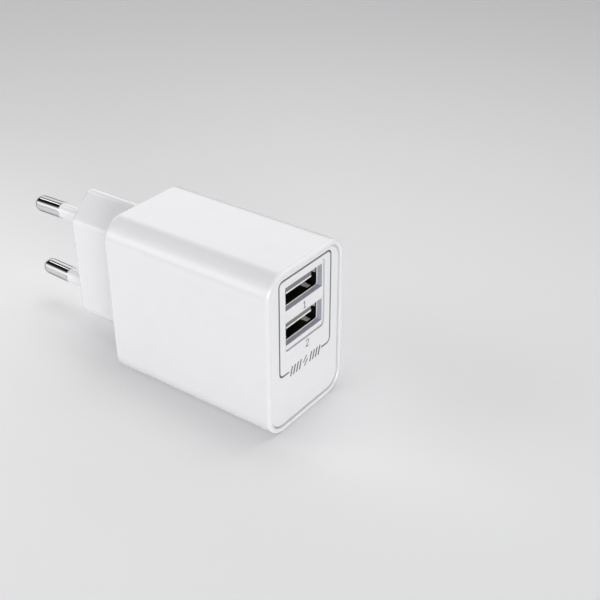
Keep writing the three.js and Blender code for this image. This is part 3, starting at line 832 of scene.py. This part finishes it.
def build_usb_shell(place, centre_z):
    """A sheet metal tube with a rounded lip and spring tabs on all four walls; its inside is
    near-black painted shade, its lip and tabs lighter painted light.
    """
    # Slots: plain nickel outside and at the back, painted shade inside, painted light on the lip
    # and the tabs.
    bright, dark, lit_satin_slot = 0, 1, 2
    rear_y = shell_front_y + shell_length
    profile = softened(
        [
            (shell_sheet, rear_y, 0),
            (shell_sheet, shell_front_y, shell_lip_round),
            (0, shell_front_y, shell_lip_round),
            (0, rear_y, 0),
        ],
        steps=4,
        closed=True,
    )
    shape = Shape()
    width, height = shell_inner_width, shell_inner_height
    loops = [
        shape.loop(box_ring(width, height, shell_corner, centre_z, grown, y, steps=6))
        for grown, y in profile
    ]
    shape.band(loops[0], loops[1], bright)
    for first, second in zip(loops[1:-2], loops[2:-1]):
        shape.band(first, second, lit_satin_slot)
    shape.band(loops[-2], loops[-1], dark)
    shape.band(loops[-1], loops[0], bright)

    for side in (-1, 1):
        for x in (-floor_tab_x, floor_tab_x):
            add_spring_tab(
                shape,
                lambda across, lift: (x + across, centre_z + side * (height / 2 - lift)),
                shell_front_y + floor_tab_setback,
                floor_tab_half_width,
                floor_tab_bow,
                lit_satin_slot,
            )
        add_spring_tab(
            shape,
            lambda across, lift: (side * (width / 2 - lift), centre_z + side_tab_rise + across),
            shell_front_y + side_tab_setback,
            side_tab_half_width,
            side_tab_bow,
            lit_satin_slot,
        )
    shape.piece(
        f"usb_socket_{place}",
        [nickel, nickel_painted_shade, satin_nickel_painted_light],
        [f"usb_shell_{place}"],
    )


def add_spring_tab(shape, spot, first_y, half_width, bow, material):
    """A bowed strip pressed out of the sheet; spot(across, lift) gives its (x, z) off the wall."""
    steps = 10
    root = -tab_root
    rings = []
    for step in range(steps + 1):
        share = step / steps
        y = first_y + tab_length * share
        lift = bow * math.sin(math.pi * share) ** 2 + tab_stand_off
        section = [(-half_width, root), (-half_width, lift), (half_width, lift), (half_width, root)]
        places = [spot(across, height) for across, height in section]
        rings.append([(x, y, z) for x, z in places])
    first, last = shape.skin(rings, material=material)
    shape.mesh.faces.new(first).material_index = material
    shape.mesh.faces.new(last).material_index = material


def build_tongue_painted_highlight(place, centre_z):
    """A bead along the lower front edge of a socket's tongue, painted pale as a painted highlight
    for the lit lower band of the tongue's face.
    """
    front = shell_front_y + tongue_setback - tongue_edge_proud
    rear = front + tongue_edge_depth
    low = centre_z - tongue_edge_proud / 2
    high = centre_z + tongue_edge_height
    corners = [
        (front, low, tongue_edge_round),
        (rear, low, 0),
        (rear, high, 0),
        (front, high, tongue_edge_round),
    ]
    outline = softened(corners, steps=4, closed=True)
    reach = tongue_width / 2
    shape = Shape()
    left, right = shape.skin([[(x, y, z) for y, z in outline] for x in (-reach, reach)])
    shape.mesh.faces.new(left)
    shape.mesh.faces.new(right)
    shape.piece(f"tongue_painted_highlight_{place}", [tongue_painted_highlight])


for place, centre_z in port_zs.items():
    build_usb_shell(place, centre_z)
    build_tongue_painted_highlight(place, centre_z)

# ---------------------------------------------------------------- rear cover with the plug


def build_rear_plug():
    shape = Shape()
    cover_y = rear_y - (face_y - front_y)
    inside_y = cover_y - cover_thickness
    outer_profile = cover_edge(cover_y, -1)
    face_edge, back_edge = shape.skin([case_ring(inset, y) for inset, y in outer_profile])

    plug_profile = softened(
        [
            (plug_profile_reach, cover_y, 0),
            (0, cover_y, plug_foot_round),
            (0, plug_face_y, plug_edge_round),
            (-plug_profile_reach, plug_face_y, 0),
        ],
        steps=8,
    )[1:-1]
    foot_edge, end_edge = shape.skin([plug_ring(grown, y) for grown, y in plug_profile])
    shape.fill(face_edge, foot_edge)

    cavity_end = plug_face_y - plug_end_wall
    cavity_rings = [
        box_ring(plug_cavity_width, plug_cavity_height, plug_cavity_corner, middle_z, 0, y)
        for y in (inside_y, cavity_end)
    ]
    cavity_mouth, cavity_top = shape.skin(cavity_rings)
    shape.fill(back_edge, cavity_mouth)

    dish_edges = []
    bore_ends = []
    dish_profile = softened(
        [
            (dish_radius + flat_margin, 0, 0),
            (dish_radius, 0, dish_brim_round),
            (dish_radius - dish_slope, -dish_depth, dish_floor_round),
            (bore_radius, -dish_depth, dish_bore_round),
            (bore_radius, -plug_end_wall, 0),
        ],
        steps=4,
    )[1:]
    for side in (-1, 1):
        rings = [pin_ring(side, radius, along) for radius, along in dish_profile]
        for ring, level in ((rings[0], plug_face_y), (rings[-1], cavity_end)):
            for point in ring:
                point.y = level
        edge, end = shape.skin(rings)
        dish_edges.append(edge)
        bore_ends.append(end)
    shape.fill(end_edge, *dish_edges)
    shape.fill(cavity_top, *bore_ends)
    shape.piece("rear_plug_body", [white_case], ["rear_plug_cover"])


build_rear_plug()

# ---------------------------------------------------------------- pins and sleeves


def build_pin(place, side):
    shoulder = sleeve_length + pin_gap
    profile = softened(
        [
            (pin_core_radius, -pin_inner_length, 0),
            (pin_core_radius, shoulder, 0),
            (pin_radius, shoulder, pin_edge_round),
            (pin_radius, pin_length - pin_radius, 0),
        ],
        steps=4,
    )
    nose = arc((0, pin_length - pin_radius), pin_radius, start=0, end=90, steps=12)[1:-1]
    shape = Shape()
    rings = [pin_ring(side, radius, along, pin_segments) for radius, along in profile + nose]
    root, tip = shape.skin(rings)
    shape.fan(root, pin_ring(side, 0, -pin_inner_length, 1)[0])
    shape.fan(tip, pin_ring(side, 0, pin_length, 1)[0])
    shape.piece(f"pin_{place}", [chrome_pin], [f"plug_pin_{place}"])


def build_sleeve(place, side):
    """The insulating sleeve: a thick foot that ends in a fine ring, then a thin tube."""
    ring_radius = collar_radius + ring_step
    profile = softened(
        [
            (sleeve_bore, -plug_end_wall, 0),
            (collar_radius, -plug_end_wall, 0),
            (collar_radius, collar_length - 3 * ring_step, ring_foot_round),
            (ring_radius, collar_length - 2 * ring_step, ring_round),
            (ring_radius, collar_length, ring_round),
            (sleeve_radius, collar_length + ring_step, ring_foot_round),
            (sleeve_radius, sleeve_length, sleeve_end_round),
            (sleeve_bore, sleeve_length, 0),
        ],
        steps=3,
        closed=True,
    )
    shape = Shape()
    rings = [pin_ring(side, radius, along, pin_segments) for radius, along in profile]
    shape.skin(rings, closed=True)
    shape.piece(f"sleeve_{place}", [sleeve_white], [f"pin_sleeve_{place}"])


for place, side in (("upper", 1), ("lower", -1)):
    build_pin(place, side)
    build_sleeve(place, side)

# ---------------------------------------------------------------- carried-over CAD nodes


def dress(node, material, soft_mm=0.05):
    """Gives a CAD node its finish and slightly softened edges."""
    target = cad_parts[node]
    target.data.materials.clear()
    target.data.materials.append(material)
    bevel = target.modifiers.new("soft_edges", "BEVEL")
    bevel.width = soft_mm / METRE
    bevel.segments = 2
    bevel.limit_method = "ANGLE"
    bevel.angle_limit = math.radians(40)
    bevel.use_clamp_overlap = True


def board_finish():
    """Green lacquer over copper, which shows as slightly paler patches with sharp edges."""
    finish = Finish("circuit_board", Coat_Weight=0.3)
    lacquer = (0.012, 0.10, 0.045)
    over_copper = (0.02, 0.15, 0.07)
    finish.colour(finish.noise(0.9, detail=2), lacquer, over_copper, start=0.48, end=0.52)
    finish.roughness(finish.noise(1), 0.3, 0.45)
    finish.bump(finish.noise(0.9, detail=2), 0.02)
    return finish.material


circuit_board = board_finish()
gold_contact = mottled(
    "gold_contact", (0.83, 0.62, 0.26), 0.03, (0.18, 0.28), 5, 0.001, Metallic=1.0
)
bronze_spring = mottled(
    "bronze_spring", (0.62, 0.40, 0.2), 0.06, (0.25, 0.4), 4, 0.001, Metallic=1.0
)
black_moulding = mottled("black_moulding", (0.02, 0.02, 0.021), 0.15, (0.4, 0.55), 6, 0.003)
ferrite = mottled("ferrite", (0.05, 0.05, 0.053), 0.2, (0.6, 0.8), 5, 0.008)
winding_tape = mottled("winding_tape", (0.75, 0.52, 0.06), 0.05, (0.25, 0.4), 1, 0.01)
capacitor_can = mottled("capacitor_can", (0.02, 0.03, 0.07), 0.1, (0.2, 0.35), 2, 0.003)
blue_ceramic = mottled("blue_ceramic", (0.03, 0.12, 0.36), 0.1, (0.25, 0.4), 2, 0.01)
resistor_body = mottled("resistor_body", (0.24, 0.32, 0.34), 0.1, (0.4, 0.55), 3, 0.01)
clear_film = mottled(
    "clear_film", (0.85, 0.88, 0.9), 0.01, (0.06, 0.12), 1, 0.002, Transmission_Weight=0.9
)

node_finishes = {
    circuit_board: ["main_board", "usb_board"],
    black_moulding: [
        "link_header",
        "transformer_bobbin",
        "controller_chip",
        "bridge_rectifier",
        "output_diode",
    ],
    ferrite: ["transformer_core_front", "transformer_core_rear", "input_inductor"],
    winding_tape: ["transformer_winding"],
    capacitor_can: [
        "mains_capacitor_1",
        "mains_capacitor_2",
        "output_capacitor_1",
        "output_capacitor_2",
    ],
    blue_ceramic: ["y_capacitor"],
    resistor_body: ["fuse_resistor"],
    clear_film: ["insulation_sheet"],
    bronze_spring: ["pin_spring_upper", "pin_spring_lower"],
    socket_insulator: ["usb_tongue_upper", "usb_tongue_lower"],
    gold_contact: [
        f"usb_contact_{place}_{index}" for place in port_zs for index in (1, 2, 3, 4)
    ],
}
for material, nodes in node_finishes.items():
    for node in nodes:
        dress(node, material)

# ---------------------------------------------------------------- floor, light and camera


def build_floor():
    reach = floor_reach
    data = bpy.data.meshes.new("floor")
    corners = [(-reach, -reach, 0), (reach, -reach, 0), (reach, reach, 0), (-reach, reach, 0)]
    data.from_pydata(corners, [], [(0, 1, 2, 3)])
    floor = bpy.data.objects.new("floor", data)
    bpy.context.scene.collection.objects.link(floor)
    finish = Finish("floor", Specular_IOR_Level=0.2)
    finish.colour(finish.noise(0.002), (0.89, 0.89, 0.895), (0.90, 0.90, 0.905))
    finish.roughness(finish.noise(0.01), 0.7, 0.8)
    data.materials.append(finish.material)


build_floor()


def build_studio():
    """Long strips of light beside the part, parallel to its pins, with a dark gap between them.

    The strips lie at angles round the Y axis, counted from straight up towards +X.
    What the camera sees directly is a plain pale backdrop.
    """
    world = bpy.data.worlds.new("studio")
    bpy.context.scene.world = world
    world.use_nodes = True
    nodes = world.node_tree.nodes
    links = world.node_tree.links
    direction = nodes.new("ShaderNodeTexCoord").outputs["Generated"]
    split = nodes.new("ShaderNodeSeparateXYZ")
    links.new(direction, split.inputs["Vector"])
    angle = nodes.new("ShaderNodeMath")
    angle.operation = "ARCTAN2"
    links.new(split.outputs["X"], angle.inputs[0])
    links.new(split.outputs["Z"], angle.inputs[1])
    spread = nodes.new("ShaderNodeMapRange")
    spread.inputs["From Min"].default_value = -math.pi
    spread.inputs["From Max"].default_value = math.pi
    links.new(angle.outputs["Value"], spread.inputs["Value"])
    strips = nodes.new("ShaderNodeValToRGB")
    strips.color_ramp.interpolation = "EASE"
    set_ramp(strips, [((degrees + 180) / 360, level) for degrees, level in light_strips])
    links.new(spread.outputs["Result"], strips.inputs["Fac"])
    backdrop = nodes.new("ShaderNodeValToRGB")
    set_ramp(backdrop, backdrop_levels)
    links.new(split.outputs["Z"], backdrop.inputs["Fac"])
    choose = nodes.new("ShaderNodeMix")
    choose.data_type = "RGBA"
    colour_a, colour_b, mixed_colour = 6, 7, 2  # this node's colour sockets share their names
    links.new(nodes.new("ShaderNodeLightPath").outputs["Is Camera Ray"], choose.inputs["Factor"])
    links.new(strips.outputs["Color"], choose.inputs[colour_a])
    links.new(backdrop.outputs["Color"], choose.inputs[colour_b])
    links.new(choose.outputs[mixed_colour], nodes["Background"].inputs["Color"])


def set_ramp(node, levels):
    """Gives a colour ramp its (position, brightness) stops."""
    elements = node.color_ramp.elements
    while len(elements) < len(levels):
        elements.new(0.5)
    for element, (position, level) in zip(elements, levels):
        element.position = position
        element.color = (level, level, level * light_blueness, 1)


def add_softbox(name, place, target, size, watts, shows_in_gloss=True):
    """A soft rectangular lamp, in metres, that the camera doesn't see."""
    data = bpy.data.lights.new(name, "AREA")
    data.shape = "RECTANGLE"
    data.size, data.size_y = size
    data.energy = watts
    light = bpy.data.objects.new(name, data)
    bpy.context.scene.collection.objects.link(light)
    light.location = place
    light.rotation_euler = (Vector(target) - Vector(place)).to_track_quat("-Z", "Y").to_euler()
    light.visible_camera = False
    light.visible_glossy = shows_in_gloss


build_studio()
object_middle = (0, 0, 0.02)
add_softbox(
    "overhead",
    place=(0.025, -0.03, 0.33),
    target=object_middle,
    size=(0.2, 0.2),
    watts=0.38,
    shows_in_gloss=False,
)
add_softbox(
    "front_left",
    place=(-0.68, -0.94, 0.16),
    target=object_middle,
    size=(0.6, 0.3),
    watts=6.3,
)
add_softbox(
    "rear_left",
    place=(-0.4, 0.5, 0.42),
    target=(0, 0.03, 0.02),
    size=(0.4, 0.3),
    watts=0.9,
    shows_in_gloss=False,
)
add_softbox(
    "plug_fill",
    place=(-0.07, 0.1, 0.1),
    target=(-0.007, 0.03, 0.03),
    size=(0.08, 0.08),
    watts=0.018,
    shows_in_gloss=False,
)
add_softbox(
    "pin_card",
    place=(0.003, 0.091, 0.101),
    target=(0, 0.035, 0.02),
    size=(0.012, 0.04),
    watts=0.0028,
)


def build_camera():
    data = bpy.data.cameras.new("camera")
    data.sensor_width = sensor_mm
    data.lens = camera_lens_pixels / image_pixels * sensor_mm
    camera = bpy.data.objects.new("camera", data)
    camera.location = camera_place
    camera.rotation_euler = (math.pi / 2 - camera_pitch, 0, -camera_heading)
    bpy.context.scene.collection.objects.link(camera)
    bpy.context.scene.camera = camera


build_camera()
bpy.context.scene.view_settings.view_transform = "Standard"
